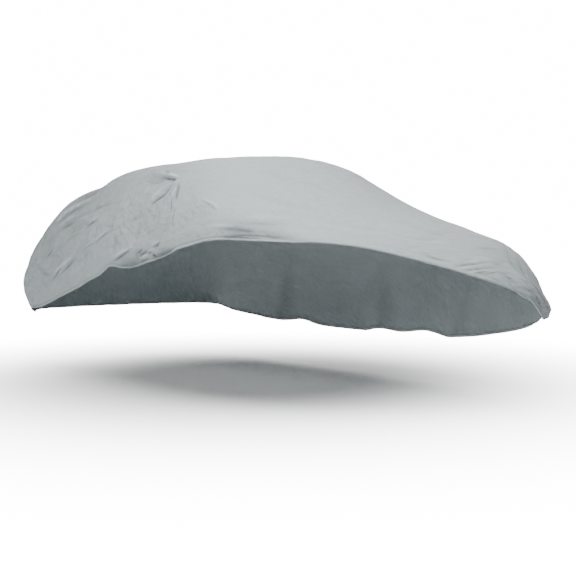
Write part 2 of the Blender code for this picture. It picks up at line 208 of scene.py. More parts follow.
# Creases finer than the main folds, seen square on to the cover's right side: x and z. Each runs from a through b to
# c, tapers off at both ends and is deepest at b. Positive ones stand out as thin ridges, negative ones are sunk. The
# upper flank is wider than the width by the lean, and the lower one is as much narrower.
Crease = namedtuple("Crease", "name ax az bx bz cx cz rise width lean", defaults=(0,))
SIDE_CREASES = rows_of(
    Crease,
    ("pucker_lip", -1.7, 1.466, -1.36, 1.416, -1.212, 1.391, 0.013, 0.0065, 0.2),
    ("pucker_cut", -1.58, 1.431, -1.335, 1.394, -1.222, 1.378, -0.013, 0.006),
    ("pucker_tip", -1.3, 1.389, -1.255, 1.383, -1.212, 1.377, -0.012, 0.006),
    ("pucker_shelf", -1.85, 1.442, -1.56, 1.412, -1.28, 1.38, -0.012, 0.022),
    ("pucker_upper", -1.61, 1.476, -1.5, 1.448, -1.395, 1.418, -0.006, 0.007),
    ("pucker_under", -1.74, 1.41, -1.565, 1.383, -1.43, 1.387, -0.004, 0.009),
    ("ray_long", -1.195, 1.346, -1.33, 1.27, -1.392, 1.203, -0.013, 0.012),
    ("ray_long_lip", -1.301, 1.359, -1.38, 1.298, -1.414, 1.241, 0.009, 0.008),
    ("ray_second", -1.155, 1.314, -1.175, 1.269, -1.221, 1.224, -0.006, 0.007),
    ("ray_steep", -1.178, 1.345, -1.18, 1.29, -1.185, 1.215, -0.004, 0.009),
    ("seam_upper", -1.156, 1.351, -1.093, 1.288, -1.037, 1.221, -0.016, 0.01),
    ("seam_upper_lip", -1.165, 1.34, -1.125, 1.268, -1.07, 1.185, 0.007, 0.011),
    ("seam_second", -1.13, 1.275, -1.089, 1.213, -1.035, 1.145, -0.01, 0.009),
    ("seam_lower", -1.025, 1.182, -0.998, 1.13, -0.965, 1.05, -0.006, 0.009),
    ("diagonal_start", -1.62, 1.088, -1.765, 1.046, -1.875, 1.026, -0.004, 0.008),
    ("diagonal_middle", -1.83, 1.046, -1.912, 1.003, -1.995, 0.955, -0.012, 0.007),
    ("diagonal_lip", -1.82, 1.06, -1.912, 1.018, -2, 0.97, 0.008, 0.01, 0.3),
    ("diagonal_end", -1.955, 0.982, -2.117, 0.93, -2.24, 0.862, -0.005, 0.01),
    ("diagonal_end_lip", -1.95, 0.997, -2.105, 0.948, -2.22, 0.886, 0.007, 0.012, 0.3),
    ("low_lip", -2.29, 0.878, -2.497, 0.798, -2.745, 0.7, 0.012, 0.011, 0.4),
    ("low_cut", -2.45, 0.822, -2.601, 0.744, -2.79, 0.628, -0.012, 0.007),
    ("low_second", -2.28, 0.848, -2.444, 0.783, -2.61, 0.695, -0.008, 0.008),
    ("low_shade", -2.4, 0.885, -2.56, 0.825, -2.72, 0.76, -0.005, 0.02),
    ("low_far", -2.1, 0.83, -2.26, 0.76, -2.48, 0.7, 0.004, 0.02, 0.3),
    ("skirt_fold", -2.49, 0.66, -2.68, 0.62, -2.86, 0.58, 0.003, 0.02),
    ("pocket_lip", -1.43, 0.944, -1.56, 0.897, -1.69, 0.853, 0.014, 0.008, 0.3),
    ("pocket_cut", -1.44, 0.93, -1.571, 0.879, -1.71, 0.83, -0.014, 0.007),
    ("quarter_mark", -2.08, 1.136, -2.189, 1.11, -2.3, 1.084, -0.01, 0.009),
    ("quarter_lip", -2.08, 1.155, -2.185, 1.131, -2.3, 1.108, 0.008, 0.013, 0.3),
    ("quarter_tail", -2.3, 1.09, -2.44, 1.06, -2.58, 1.03, -0.004, 0.016),
    ("streak_main", -2.41, 1.272, -2.719, 1.219, -2.965, 1.122, -0.007, 0.011),
    ("streak_main_lip", -2.39, 1.292, -2.705, 1.24, -2.955, 1.145, 0.009, 0.012, 0.3),
    ("streak_hump", -2.46, 1.36, -2.76, 1.326, -2.945, 1.24, -0.034, 0.026),
    ("streak_short", -1.9, 1.255, -2.09, 1.23, -2.24, 1.195, -0.004, 0.01),
    ("streak_tail_lip", -3.031, 1.116, -2.939, 1.154, -2.833, 1.195, 0.009, 0.011, 0.3),
    ("streak_tail_cut", -2.964, 1.107, -2.87, 1.141, -2.763, 1.182, -0.007, 0.009),
    ("streak_low_lip", -2.91, 1.078, -2.729, 1.138, -2.551, 1.184, 0.008, 0.012, 0.3),
    ("streak_low_cut", -2.805, 1.057, -2.674, 1.09, -2.532, 1.122, -0.006, 0.011),
    ("streak_mid_cut", -2.269, 1.206, -2.183, 1.219, -2.086, 1.238, -0.005, 0.012),
    ("streak_rail", -2, 1.36, -2.28, 1.3, -2.58, 1.25, -0.003, 0.02),
    ("streak_low", -1.8, 1.18, -2.04, 1.13, -2.24, 1.07, 0.003, 0.024, 0.2),
    ("streak_shoulder", -1.72, 1.35, -1.93, 1.3, -2.12, 1.23, 0.003, 0.028, 0.2),
    ("streak_level", -1.7, 1.07, -1.85, 1.078, -2.02, 1.092, -0.004, 0.009),
    ("corner_fold", -2.62, 1, -2.78, 0.93, -2.9, 0.86, 0.004, 0.02, 0.3),
    ("corner_cut", -2.78, 0.936, -2.866, 0.887, -2.94, 0.83, -0.012, 0.009),
    ("corner_drop", -2.92, 1.04, -3.1, 0.95, -3.09, 0.82, -0.004, 0.02),
    ("corner_low", -2.98, 0.75, -2.88, 0.73, -2.76, 0.7, -0.002, 0.018),
    ("drop_soft", -1.71, 1.27, -1.73, 1.19, -1.79, 1.12, 0.003, 0.034),
    ("drop_low", -1.66, 1.02, -1.7, 0.97, -1.74, 0.93, -0.003, 0.014),
    ("hem_nick", -1.185, 0.883, -1.163, 0.883, -1.141, 0.883, -0.03, 0.008),
    ("soft_quarter", -2.35, 1.155, -2.583, 1.106, -2.79, 1.065, -0.005, 0.013),
    ("soft_corner", -2.88, 1.035, -2.986, 0.992, -3.06, 0.945, -0.005, 0.013),
    ("soft_low", -2.9, 0.88, -2.722, 0.866, -2.56, 0.858, -0.004, 0.018),
    ("soft_drop", -1.72, 1.01, -1.696, 0.96, -1.678, 0.91, -0.003, 0.01),
    ("soft_heel", -2.98, 0.74, -2.857, 0.72, -2.7, 0.718, -0.003, 0.01),
    ("soft_shoulder", -1.8, 1.355, -1.979, 1.294, -2.12, 1.238, -0.003, 0.014),
    ("soft_middle", -1.56, 1.28, -1.697, 1.22, -1.84, 1.165, -0.003, 0.014),
    ("soft_middle_lip", -1.54, 1.298, -1.685, 1.24, -1.83, 1.186, 0.003, 0.016),
    ("soft_waist", -1.38, 1.178, -1.508, 1.134, -1.65, 1.098, -0.004, 0.012),
    ("soft_bend", -2.46, 0.995, -2.616, 0.942, -2.73, 0.89, -0.004, 0.012),
    ("soft_panel", -1.98, 0.925, -2.128, 0.866, -2.3, 0.808, -0.003, 0.014),
    ("soft_pillar", -1.39, 1.115, -1.402, 1.05, -1.43, 0.985, -0.003, 0.016),
    ("soft_peak", -1.23, 1.165, -1.2, 1.1, -1.22, 1.035, -0.004, 0.014),
    ("soft_tail", -3.14, 0.82, -3.005, 0.768, -2.82, 0.735, -0.003, 0.012),
    ("soft_flank", -2.22, 1.052, -2.406, 1.018, -2.61, 0.982, -0.004, 0.013),
    ("broad_quarter", -2.722, 1.026, -2.422, 1.087, -2.053, 1.132, -0.011, 0.04),
    ("broad_quarter_top", -2.77, 1.072, -2.445, 1.14, -2.081, 1.19, 0.01, 0.034),
    ("broad_corner", -3.108, 0.845, -2.993, 0.909, -2.84, 0.987, -0.014, 0.044),
    ("broad_rail", -2.975, 1.099, -2.728, 1.204, -2.326, 1.265, -0.006, 0.02),
    ("broad_rail_top", -3.046, 1.112, -2.783, 1.233, -2.423, 1.296, 0.013, 0.02),
    ("broad_rail_low", -2.866, 1.062, -2.484, 1.155, -2.116, 1.217, -0.008, 0.016),
    ("broad_low", -2.502, 0.777, -2.362, 0.82, -2.218, 0.873, -0.008, 0.024),
    ("broad_bend", -2.345, 0.861, -2.165, 0.938, -1.988, 0.981, -0.007, 0.018),
    ("broad_middle", -1.905, 0.963, -1.738, 0.936, -1.632, 0.909, -0.006, 0.024),
    ("broad_heel", -3.018, 0.696, -2.873, 0.645, -2.742, 0.611, -0.006, 0.024),
    ("broad_heel_top", -3.081, 0.742, -2.925, 0.729, -2.753, 0.711, -0.003, 0.016),
    ("broad_peak", -1.697, 1.219, -1.547, 1.167, -1.483, 1.104, -0.006, 0.04),
    ("broad_front", -1.396, 1.21, -1.277, 1.127, -1.235, 1.048, -0.005, 0.036),
    ("broad_pillar", -1.375, 1.076, -1.217, 1.021, -1.078, 0.995, -0.005, 0.024),
    ("broad_top", -2.173, 1.241, -2.05, 1.317, -1.869, 1.361, -0.004, 0.026),
    ("crumple_a", -1.399, 0.89, -1.356, 0.909, -1.302, 0.929, -0.014, 0.007),
    ("crumple_b", -1.386, 0.876, -1.312, 0.899, -1.216, 0.92, -0.013, 0.007),
    ("crumple_c", -1.264, 0.885, -1.221, 0.903, -1.176, 0.92, -0.014, 0.007),
    ("crumple_d", -1.187, 0.928, -1.14, 0.946, -1.092, 0.963, -0.012, 0.007),
    ("crumple_e", -1.144, 0.921, -1.106, 0.951, -1.073, 0.978, -0.011, 0.007),
    ("crumple_f", -1.405, 0.913, -1.399, 0.88, -1.389, 0.844, -0.007, 0.007),
    ("crumple_g", -1.368, 0.845, -1.301, 0.857, -1.224, 0.87, -0.012, 0.007),
    ("crumple_h", -1.34, 0.868, -1.28, 0.881, -1.215, 0.895, 0.012, 0.008),
    ("crumple_i", -1.117, 0.905, -1.045, 0.921, -0.971, 0.928, -0.005, 0.008),
    ("crumple_j", -1.267, 0.901, -1.2, 0.916, -1.121, 0.941, 0.008, 0.008),
    ("crumple_k", -1.197, 0.94, -1.148, 0.957, -1.088, 0.973, 0.007, 0.008),
    ("hem_crumple", -1.202, 0.869, -1.04, 0.891, -0.864, 0.933, -0.026, 0.014),
    ("hem_line_rear", -0.42, 0.986, -0.26, 1.01, -0.06, 1.014, -0.01, 0.01),
    ("hem_line_middle", -0.16, 1.017, 0, 1.01, 0.15, 0.99, -0.009, 0.01),
    ("hem_line_front", 0.06, 1.003, 0.19, 0.983, 0.3, 0.967, -0.006, 0.009),
    ("hem_line_low", -0.4, 0.985, -0.23, 0.996, -0.04, 0.998, -0.005, 0.008),
    ("pocket_shade", -1.64, 0.815, -1.52, 0.835, -1.36, 0.862, -0.016, 0.022),
    ("hem_line_shade", -0.46, 1.012, -0.18, 1.036, 0.12, 1.008, -0.009, 0.024),
    ("tent_streak_a", -0.448, 1.075, -0.127, 1.077, 0.073, 1.05, -0.007, 0.014),
    ("tent_streak_b", -0.461, 1.04, -0.271, 1.045, -0.135, 1.028, -0.007, 0.012),
    ("tent_streak_c", -0.32, 1.102, -0.144, 1.113, 0.02, 1.09, 0.006, 0.018),
    ("tent_streak_d", -0.56, 1.06, -0.42, 1.058, -0.3, 1.062, 0.005, 0.012),
    ("tent_nick", -0.79, 1.23, -0.641, 1.187, -0.52, 1.142, -0.006, 0.008),
    ("tent_nick_lip", -0.8, 1.243, -0.645, 1.2, -0.51, 1.156, 0.005, 0.009),
    ("peak_side", -1, 1.06, -1.07, 1.03, -1.14, 1.01, -0.004, 0.014),
)

# The same on top of the cover, seen from above: x and y
TOP_CREASES = rows_of(
    Crease,
    ("screen_long", -0.78, -0.42, -0.52, -0.31, -0.32, -0.17, -0.007, 0.03),
    ("screen_second", -0.68, -0.36, -0.44, -0.25, -0.22, -0.08, 0.005, 0.03),
    ("cowl_long", -0.58, -0.77, -0.35, -0.67, -0.12, -0.52, 0.006, 0.034),
    ("cowl_low", -0.5, -0.89, -0.23, -0.82, -0.02, -0.66, -0.006, 0.03),
    ("cowl_upper", -0.6, -0.65, -0.3, -0.52, -0.06, -0.35, -0.007, 0.036),
    ("bonnet_long", 0.02, -0.67, 0.15, -0.48, 0.3, -0.28, 0.004, 0.034),
    ("bonnet_edge", 0.24, -0.56, 0.31, -0.38, 0.33, -0.16, -0.003, 0.03),
    ("pleat_a", 0.69, -0.13, 0.663, 0.003, 0.64, 0.14, -0.006, 0.007),
    ("pleat_b", 0.706, -0.11, 0.686, 0.026, 0.668, 0.18, 0.005, 0.007),
    ("pleat_c", 0.728, -0.1, 0.711, 0.016, 0.696, 0.15, -0.006, 0.007),
    ("pleat_d", 0.744, -0.03, 0.725, 0.065, 0.704, 0.19, 0.005, 0.007),
    ("pleat_e", 0.76, -0.04, 0.74, 0.06, 0.716, 0.2, -0.006, 0.008),
    ("pleat_g", 0.768, 0, 0.742, 0.13, 0.704, 0.28, -0.005, 0.01),
    ("pleat_h", 0.69, 0.18, 0.63, 0.343, 0.58, 0.47, -0.004, 0.016),
    ("bonnet_a", 0.43, -0.02, 0.39, 0.09, 0.405, 0.16, 0.006, 0.02),
    ("bonnet_b", 0.36, -0.1, 0.339, 0.045, 0.305, 0.19, -0.006, 0.02),
    ("bonnet_c", 0.05, 0.07, 0.207, 0.196, 0.35, 0.27, -0.006, 0.024),
    ("bonnet_d", 0.245, 0.1, 0.255, 0.233, 0.17, 0.46, -0.005, 0.02),
    ("bonnet_e", 0.034, -0.447, 0.161, -0.29, 0.234, -0.08, -0.004, 0.02),
    ("bonnet_f", 0.551, -0.24, 0.58, -0.135, 0.627, -0.06, -0.006, 0.012),
    ("nose_side", 0.56, 0.5, 0.64, 0.491, 0.755, 0.42, -0.003, 0.018),
    ("nose_rim", 0.44, 0.6, 0.64, 0.555, 0.735, 0.52, -0.004, 0.02),
    ("screen_a", -0.76, -0.35, -0.511, -0.239, -0.28, -0.03, -0.006, 0.026),
    ("pleat_i", 0.682, -0.03, 0.652, 0.11, 0.62, 0.27, -0.005, 0.008),
    ("pleat_j", 0.72, 0.03, 0.69, 0.16, 0.682, 0.25, -0.005, 0.008),
    ("pleat_k", 0.75, 0.05, 0.724, 0.165, 0.712, 0.26, 0.005, 0.008),
    ("pleat_l", 0.655, 0.02, 0.618, 0.17, 0.6, 0.31, 0.004, 0.01),
    ("bonnet_far_a", 0.213, 0.5, 0.27, 0.575, 0.341, 0.61, -0.005, 0.018),
    ("bonnet_far_b", 0.483, 0.28, 0.459, 0.432, 0.464, 0.54, -0.005, 0.014),
    ("bonnet_far_c", 0.59, 0.13, 0.584, 0.252, 0.601, 0.35, 0.004, 0.014),
    ("nose_slant_a", 0.343, 0.704, 0.536, 0.542, 0.697, 0.406, -0.004, 0.014),
    ("nose_slant_b", 0.49, 0.642, 0.598, 0.578, 0.722, 0.474, -0.003, 0.012),
    ("nose_slant_c", 0.598, 0.59, 0.677, 0.56, 0.734, 0.541, 0.003, 0.01),
    ("pleat_f", 0.49, -0.205, 0.557, -0.143, 0.625, -0.105, -0.005, 0.012),
)

# The same on the nose, seen from the front: y and z
FRONT_CREASES = rows_of(
    Crease,
    ("nose_fall_a", 0.262, 0.8, 0.312, 0.752, 0.361, 0.715, -0.006, 0.01),
    ("nose_fall_b", 0.355, 0.745, 0.391, 0.693, 0.461, 0.65, -0.005, 0.009),
    ("nose_fall_c", 0.47, 0.73, 0.51, 0.645, 0.565, 0.569, -0.014, 0.01),
    ("nose_fall_d", 0.43, 0.78, 0.45, 0.72, 0.505, 0.66, 0.007, 0.01),
    ("nose_fall_e", 0.56, 0.76, 0.59, 0.68, 0.64, 0.6, -0.01, 0.011),
    ("nose_fall_f", 0.61, 0.7, 0.65, 0.62, 0.68, 0.56, -0.014, 0.012),
    ("nose_fall_g", 0.06, 0.8, 0.12, 0.76, 0.2, 0.735, -0.006, 0.01),
)

# The loose unevenness of the cloth: how high each kind of it is and how often it comes along and across itself, how
# far from the pucker the fan of rays is full, which way the streaks on top run, and between what slopes, or what
# places behind the pucker, the unevenness of one part begins and is full
PUCKER = np.array((-1.24, -0.72, 1.37))
FLANK = (0.2, 0.7)
TOP = (0.3, 0.8)
BEHIND_PUCKER = (-1.0, -1.3)
BROAD_RISE = 0.0035
BROAD_OFTEN = 3.1
FAN_RISE = 0.0030
FAN_OFTEN = (4.5, 1.6)
FAN_START = 0.5
STREAK_RISE = 0.0036
STREAK_OFTEN = (1.6, 9)
STREAK_TURN = math.radians(32)
LEFT_DRAPE_RISE = 0.006
LEFT_DRAPE_OFTEN = (7, 1.1)
TAIL_DRAPE_RISE = 0.005
TAIL_DRAPE_OFTEN = (7, 1.3)
SMALL_RISE = 0.0014
SMALL_RISE_RIGHT = 0.0030
SMALL_OFTEN = 9
GATHER_RISE = 0.0035
GATHER_OFTEN = (17, 6)
GATHER_REACH = 0.07

# How strong the small wrinkles are: on the plain cloth, how much less on the left, and how much more ahead of the
# pucker and behind it, with the places between which one turns into the other
LOOSE_TURN = (-1.0, -1.4)
LOOSE_PLAIN = 0.3
LESS_LEFT = 0.15
MORE_AHEAD = 0.25
MORE_BEHIND = 0.7

# The finishes: the cloth's and the thread's two tones, how strongly painted shade darkens the creases and a painted
# highlight lightens the raised ridges, how much handling does, how rough it is, the pitch of its pressed dots, how the
# small wrinkles are drawn out along it, the heights of the relief, and how often each pattern comes in a metre
CLOTH_DARK = (0.418, 0.470, 0.487, 1)
CLOTH_LIGHT = (0.466, 0.522, 0.540, 1)
THREAD_DARK = (0.30, 0.33, 0.345, 1)
THREAD_LIGHT = (0.46, 0.50, 0.515, 1)
SHADE_STRENGTH = 0.55
HIGHLIGHT_STRENGTH = 0.55
HANDLING = (0.95, 1.03)
ROUGHNESS = (0.82, 0.96)
DOT_PITCH = 0.0022
DRAWN_TURN = math.radians(24)
DRAWN_STRETCH = 2.4
WRINKLE_HEIGHT = 0.015
FIBRE_HEIGHT = 0.0006
STRAND_HEIGHT = 0.0003
FIBRE_OFTEN = 420
MATTING_OFTEN = 55
HANDLED_OFTEN = 5.5
CRUMPLE_OFTEN = 26
WRINKLE_OFTEN = 13
STRAND_OFTEN = 900

# The camera: its place in the layout, the way it looks, and its lens
CAMERA_PLACE = np.array((4.607, -4.282, 0.958))
CAMERA_HEADING = math.radians(37.64)
CAMERA_PITCH = math.radians(2.466)
CAMERA_LENS = 64.16
SENSOR_WIDTH = 36

# The studio: how bright the backdrop looks, how much light it throws, how far the floor reaches and where it turns
# white, and the lamps
STUDIO_WHITE = 16.0
STUDIO_FILL = 0.06
FLOOR_SIZE = 30
FLOOR_FADE = (1.7, 4.6)
Lamp = namedtuple("Lamp", "name place target length width power")
LAMPS = (
    Lamp("overhead", (1.9, -0.9, 2.4), (1.8, -0.4, -0.5), 3.0, 2.2, 160),
    Lamp("front", (3.6, 0.4, 2.1), (2.0, 0, -0.5), 2.0, 2.0, 26),
    Lamp("right_side", (0.6, -6.5, 1.9), (-1.0, -0.6, -0.6), 3.4, 3.4, 248),
    Lamp("rear_left", (-5.6, 4.0, 3.6), (0, 0, -0.6), 4.0, 4.0, 430),
)


# ---------------------------------------------------------------- the form of the cloth


def spline_matrix(count, at):
    """Weights that turn `count` evenly spaced values into a smooth curve through them, read at places `at`."""
    def basis(t):
        t = np.abs(t)
        return np.where(t < 1, 2 / 3 - t**2 + t**3 / 2, np.where(t < 2, (2 - t) ** 3 / 6, 0))

    knots = np.arange(-1, count + 1)
    places = np.arange(count)
    rows = basis(places[:, None] - knots[None, :])
    first, last = np.zeros(count + 2), np.zeros(count + 2)
    first[:3] = last[-3:] = 1, -2, 1
    solve = np.linalg.inv(np.vstack([first, rows, last]))[:, 1:-1]
    return basis(np.asarray(at, float)[:, None] - knots[None, :]) @ solve


def edge_waves(waves, x):
    return sum(wave.rise * np.exp(-(((x - wave.x) / wave.width) ** 2)) for wave in waves)


def hoops_at(u):
    """The sizes of the hoop at each place u, from 0 at the tail hoop to 15 at the nose hoop."""
    return spline_matrix(len(HOOPS), u) @ np.array(HOOPS)


def point_on(u, t):
    """The smooth form at hoop place u and place t round that hoop, from 0 at the right foot to 6 at the left one."""
    sizes = Hoop(*hoops_at(u).T)
    half = [
        (sizes.shoulder_x, sizes.shoulder_y, sizes.shoulder_z),
        (sizes.waist_x, sizes.waist_y, sizes.waist_z),
        (sizes.foot_x, sizes.foot_y, sizes.foot_z),
    ]
    ridge = (sizes.ridge_x, 0 * sizes.ridge_x, sizes.ridge_z)
    right = [(x, -y, z) for x, y, z in reversed(half)]
    corners = np.array([*right, ridge, *half])
    return np.einsum("nk,kcn->nc", spline_matrix(len(corners), t), corners)


def run_along(points):
    """Distance along the first index of a grid of points, from its first row."""
    steps = np.linalg.norm(np.diff(points, axis=0), axis=-1)
    return np.concatenate([np.zeros((1, *steps.shape[1:])), np.cumsum(steps, axis=0)])


def blend_table(table, row, column):
    """Values read between the entries of a table, at fractional rows and columns."""
    i = np.clip(row.astype(int), 0, table.shape[0] - 2)
    j = np.clip(column.astype(int), 0, table.shape[1] - 2)
    a, b = row - i, column - j
    near = table[i, j] * (1 - b) + table[i, j + 1] * b
    far = table[i + 1, j] * (1 - b) + table[i + 1, j + 1] * b
    return near * (1 - a) + far * a


def blend_vectors(table, row, column):
    """The same for a table of vectors."""
    return np.stack([blend_table(table[:, :, k], row, column) for k in range(3)], axis=1)


class Form:
    """The cloth without its folds, measured once so that any place on it can be found by distances."""

    def __init__(self):
        self.u = np.linspace(0, len(HOOPS) - 1, TABLE_STEPS + 1)
        t = np.linspace(0, 6, TABLE_STEPS + 1)
        grid = point_on(np.repeat(self.u, len(t)), np.tile(t, len(self.u))).reshape(len(self.u), len(t), 3)
        run = run_along(grid.transpose(1, 0, 2)).T
        share = np.linspace(0, 1, TABLE_STEPS + 1)
        self.t_by_share = np.array([np.interp(share * row[-1], row, t) for row in run])
        self.length = run[:, -1]
        sizes = Hoop(*hoops_at(self.u).T)
        self.start = np.maximum(sizes.lift + edge_waves(RIGHT_WAVES, sizes.waist_x), 0)
        self.end = self.length - np.maximum(edge_waves(LEFT_WAVES, sizes.waist_x), 0)

    def place(self, u, share, extra):
        """The place round the hoop, for a share of the cloth's width and an extra distance."""
        start, end, length = (np.interp(u, self.u, values) for values in (self.start, self.end, self.length))
        distance = start + share * (end - start) + extra
        row = u / self.u[-1] * TABLE_STEPS
        return blend_table(self.t_by_share, row, np.clip(distance / length, 0, 1) * TABLE_STEPS)

    def point(self, u, share, extra):
        return point_on(u, self.place(u, share, extra))

    def point_and_normal(self, u, share, extra):
        """Points and the unit normals there, pointing outwards."""
        t = self.place(u, share, extra)
        low, high = np.maximum(u - NORMAL_STEP, 0), np.minimum(u + NORMAL_STEP, self.u[-1])
        along = point_on(high, t) - point_on(low, t)
        around = point_on(u, np.minimum(t + NORMAL_STEP, 6)) - point_on(u, np.maximum(t - NORMAL_STEP, 0))
        normal = np.cross(along, around)
        return point_on(u, t), normal / np.linalg.norm(normal, axis=1, keepdims=True)


def column_tables():
    """For each column of cells: its share of the width, its extra distance, its gap from the edge and its rise."""
    gap, rise = np.array(HEM_ROLL).T
    hem = gap[-1]
    right = np.linspace(0, RIGHT_SHARE, CELLS_RIGHT + 1)
    left = np.linspace(RIGHT_SHARE, 1, CELLS_LEFT + 1)
    share = np.concatenate([right, left[1:]])
    extra = hem * (1 - 2 * share)
    flat = np.full(len(share), hem)
    return (
        np.concatenate([np.zeros(len(gap) - 1), share, np.ones(len(gap) - 1)]),
        np.concatenate([gap[:-1], extra, -gap[-2::-1]]),
        np.concatenate([gap[:-1], flat, gap[-2::-1]]),
        np.concatenate([rise[:-1], 0 * flat, rise[-2::-1]]),
    )


def row_places(form, share, extra):
    """Hoop place of each row in each column, with the hem's rows set at their distances from the tail and nose."""
    gap = np.array(HEM_ROLL)[:, 0]

    def from_end(end, inner):
        """Hoop places at the hem's gaps from one end of every column."""
        u = np.linspace(end, inner, END_STEPS + 1)
        shape = (len(u), len(share))
        spread = [np.broadcast_to(values, shape).ravel() for values in (u[:, None], share, extra)]
        runs = run_along(form.point(*spread).reshape(*shape, 3))
        return np.array([np.interp(gap, runs[:, k], u) for k in range(len(share))]).T

    last = len(HOOPS) - 1
    tail, nose = from_end(0, 1), from_end(last, last - 2)
    ends = CELLS_BETWEEN_HOOPS[0], sum(CELLS_BETWEEN_HOOPS[-2:])
    part = np.arange(ends[0])[:, None] / ends[0]
    rear = tail[-1] * (1 - part) + part
    middle = [k + 1 + np.arange(n) / n for k, n in enumerate(CELLS_BETWEEN_HOOPS[1:-2])]
    middle = np.concatenate(middle)[:, None] + np.zeros(len(share))
    part = np.arange(ends[1] + 1)[:, None] / ends[1]
    front = (last - 2) * (1 - part) + nose[-1] * part
    return np.concatenate([tail[:-1], rear, middle, front, nose[-2::-1]])


def row_tables(count):
    """For each row of cells: its gap from the tail or nose edge, and its rise there."""
    gap, rise = np.array(HEM_ROLL).T
    flat = count - 2 * (len(gap) - 1)
    return (
        np.concatenate([gap[:-1], np.full(flat, gap[-1]), gap[-2::-1]]),
        np.concatenate([rise[:-1], np.zeros(flat), rise[-2::-1]]),
    )


# ---------------------------------------------------------------- folds and creases


def bent_line(a, b, c, samples=13):
    """Points along a smooth line from a through b to c, and how far along each one lies, from 0 to 2."""
    t = np.linspace(0, 2, samples)
    weights = np.stack([(t - 1) * (t - 2) / 2, t * (2 - t), t * (t - 1) / 2], axis=1)
    return weights @ np.array([a, b, c]), t


def crease_line(crease):
    return bent_line(crease[1:3], crease[3:5], crease[5:7])


def nearest_on_line(points, line, at):
    """For each point: its distance from the line, where along the line it is nearest, and the offset from there."""
    gap = np.full(len(points), np.inf)
    where = np.zeros(len(points))
    offset = np.zeros_like(points)
    for k in range(len(line) - 1):
        step = line[k + 1] - line[k]
        part = np.clip((points - line[k]) @ step / (step @ step), 0, 1)
        off = points - line[k] - part[:, None] * step
        here = np.linalg.norm(off, axis=1)
        closer = here < gap
        gap = np.where(closer, here, gap)
        where = np.where(closer, at[k] + part * (at[k + 1] - at[k]), where)
        offset = np.where(closer[:, None], off, offset)
    return gap, where, offset


def within_reach(points, line, reach):
    """Which points lie in the box round a line."""
    return np.all((points > line.min(0) - reach) & (points < line.max(0) + reach), axis=1)


def fold_rise(fold, points):
    """How far one main fold moves each point."""
    line, at = bent_line(fold[1:4], fold[5:8], fold[9:12])
    rise = np.zeros(len(points))
    near = within_reach(points, line, 3 * fold.width)
    gap, where, _ = nearest_on_line(points[near], line, at)
    height = np.interp(where, (0, 1, 2), (fold.rise_a, fold.rise_b, fold.rise_c))
    rise[near] = height * np.exp(-((gap / fold.width) ** 2))
    return rise


def crease_rise(crease, places, facing):
    """How far one fine crease moves each point, given the points' places in the crease's own flat view."""
    line, at = crease_line(crease)
    rise = np.zeros(len(places))
    near = within_reach(places, line, 4 * crease.width) & (facing > 0)
    gap, where, offset = nearest_on_line(places[near], line, at)
    taper = np.clip(np.minimum(where, 2 - where), 0, 1)
    taper = np.sin(taper * math.pi / 2) ** CREASE_TAPER
    width = np.where(offset[:, 1] > 0, crease.width * (1 + crease.lean), crease.width * (1 - crease.lean))
    rise[near] = crease.rise * taper * np.exp(-((gap / width) ** CREASE_SHARPNESS)) * facing[near]
    return rise


def noise_at(*places):
    """Smooth noise from about -1 to 1 at each place, which comes as points or as three coordinates."""
    places = places[0] if len(places) == 1 else np.stack(places, axis=1)
    return np.array([noise.noise(Vector(place)) for place in places])


def steps_up(low, high, values):
    """0 at low, 1 at high, smooth between them and level beyond. It falls where high is the smaller one."""
    part = np.clip((values - low) / (high - low), 0, 1)
    return part * part * (3 - 2 * part)


def loose_rise(points, normal):
    """The unevenness that no single fold accounts for, each kind on its own part of the cover."""
    x, y, z = points.T
    right = steps_up(*FLANK, -normal[:, 1]) * steps_up(*BEHIND_PUCKER, x)
    left = steps_up(*FLANK, normal[:, 1])
    tail = steps_up(*FLANK, -normal[:, 0])
    top = steps_up(*TOP, normal[:, 2])
    away = points - PUCKER
    turn = np.arctan2(away[:, 2], -away[:, 0])
    far = np.hypot(away[:, 0], away[:, 2])
    along = x * math.cos(STREAK_TURN) + y * math.sin(STREAK_TURN)
    aside = y * math.cos(STREAK_TURN) - x * math.sin(STREAK_TURN)
    broad = noise_at(points * BROAD_OFTEN + 4.2) * BROAD_RISE
    fan = noise_at(turn * FAN_OFTEN[0], far * FAN_OFTEN[1], y * 0) * FAN_RISE * right
    fan = fan * np.clip(far / FAN_START, 0, 1)
    streaks = noise_at(along * STREAK_OFTEN[0], aside * STREAK_OFTEN[1], z * 0) * STREAK_RISE * top
    left_drapes = noise_at(x * LEFT_DRAPE_OFTEN[0], z * LEFT_DRAPE_OFTEN[1], y * 0 + 9) * LEFT_DRAPE_RISE * left
    tail_drapes = noise_at(y * TAIL_DRAPE_OFTEN[0], z * TAIL_DRAPE_OFTEN[1], x * 0 + 3) * TAIL_DRAPE_RISE * tail
    small = noise_at(points * SMALL_OFTEN) * (SMALL_RISE + SMALL_RISE_RIGHT * right)
    return broad + fan + streaks + left_drapes + tail_drapes + small


def hem_gathers(gap, run):
    """The small gathers that the elastic makes in the cloth beside the edge."""
    gathers = noise_at(run * GATHER_OFTEN[0], gap * GATHER_OFTEN[1], run * 0)
    return gathers * GATHER_RISE * np.exp(-((gap / GATHER_REACH) ** 2))


def looseness_at(points, normal, right):
    """How strong the small wrinkles are: most on the right behind the pucker, least on the left."""
    behind = steps_up(*LOOSE_TURN, points[:, 0])
    ahead = steps_up(*LOOSE_TURN[::-1], points[:, 0])
    not_left = steps_up(*FLANK[::-1], normal[:, 1])
    less = LESS_LEFT * steps_up(*FLANK, normal[:, 1])
    return LOOSE_PLAIN - less + MORE_AHEAD * (not_left * ahead) + MORE_BEHIND * (right * behind)


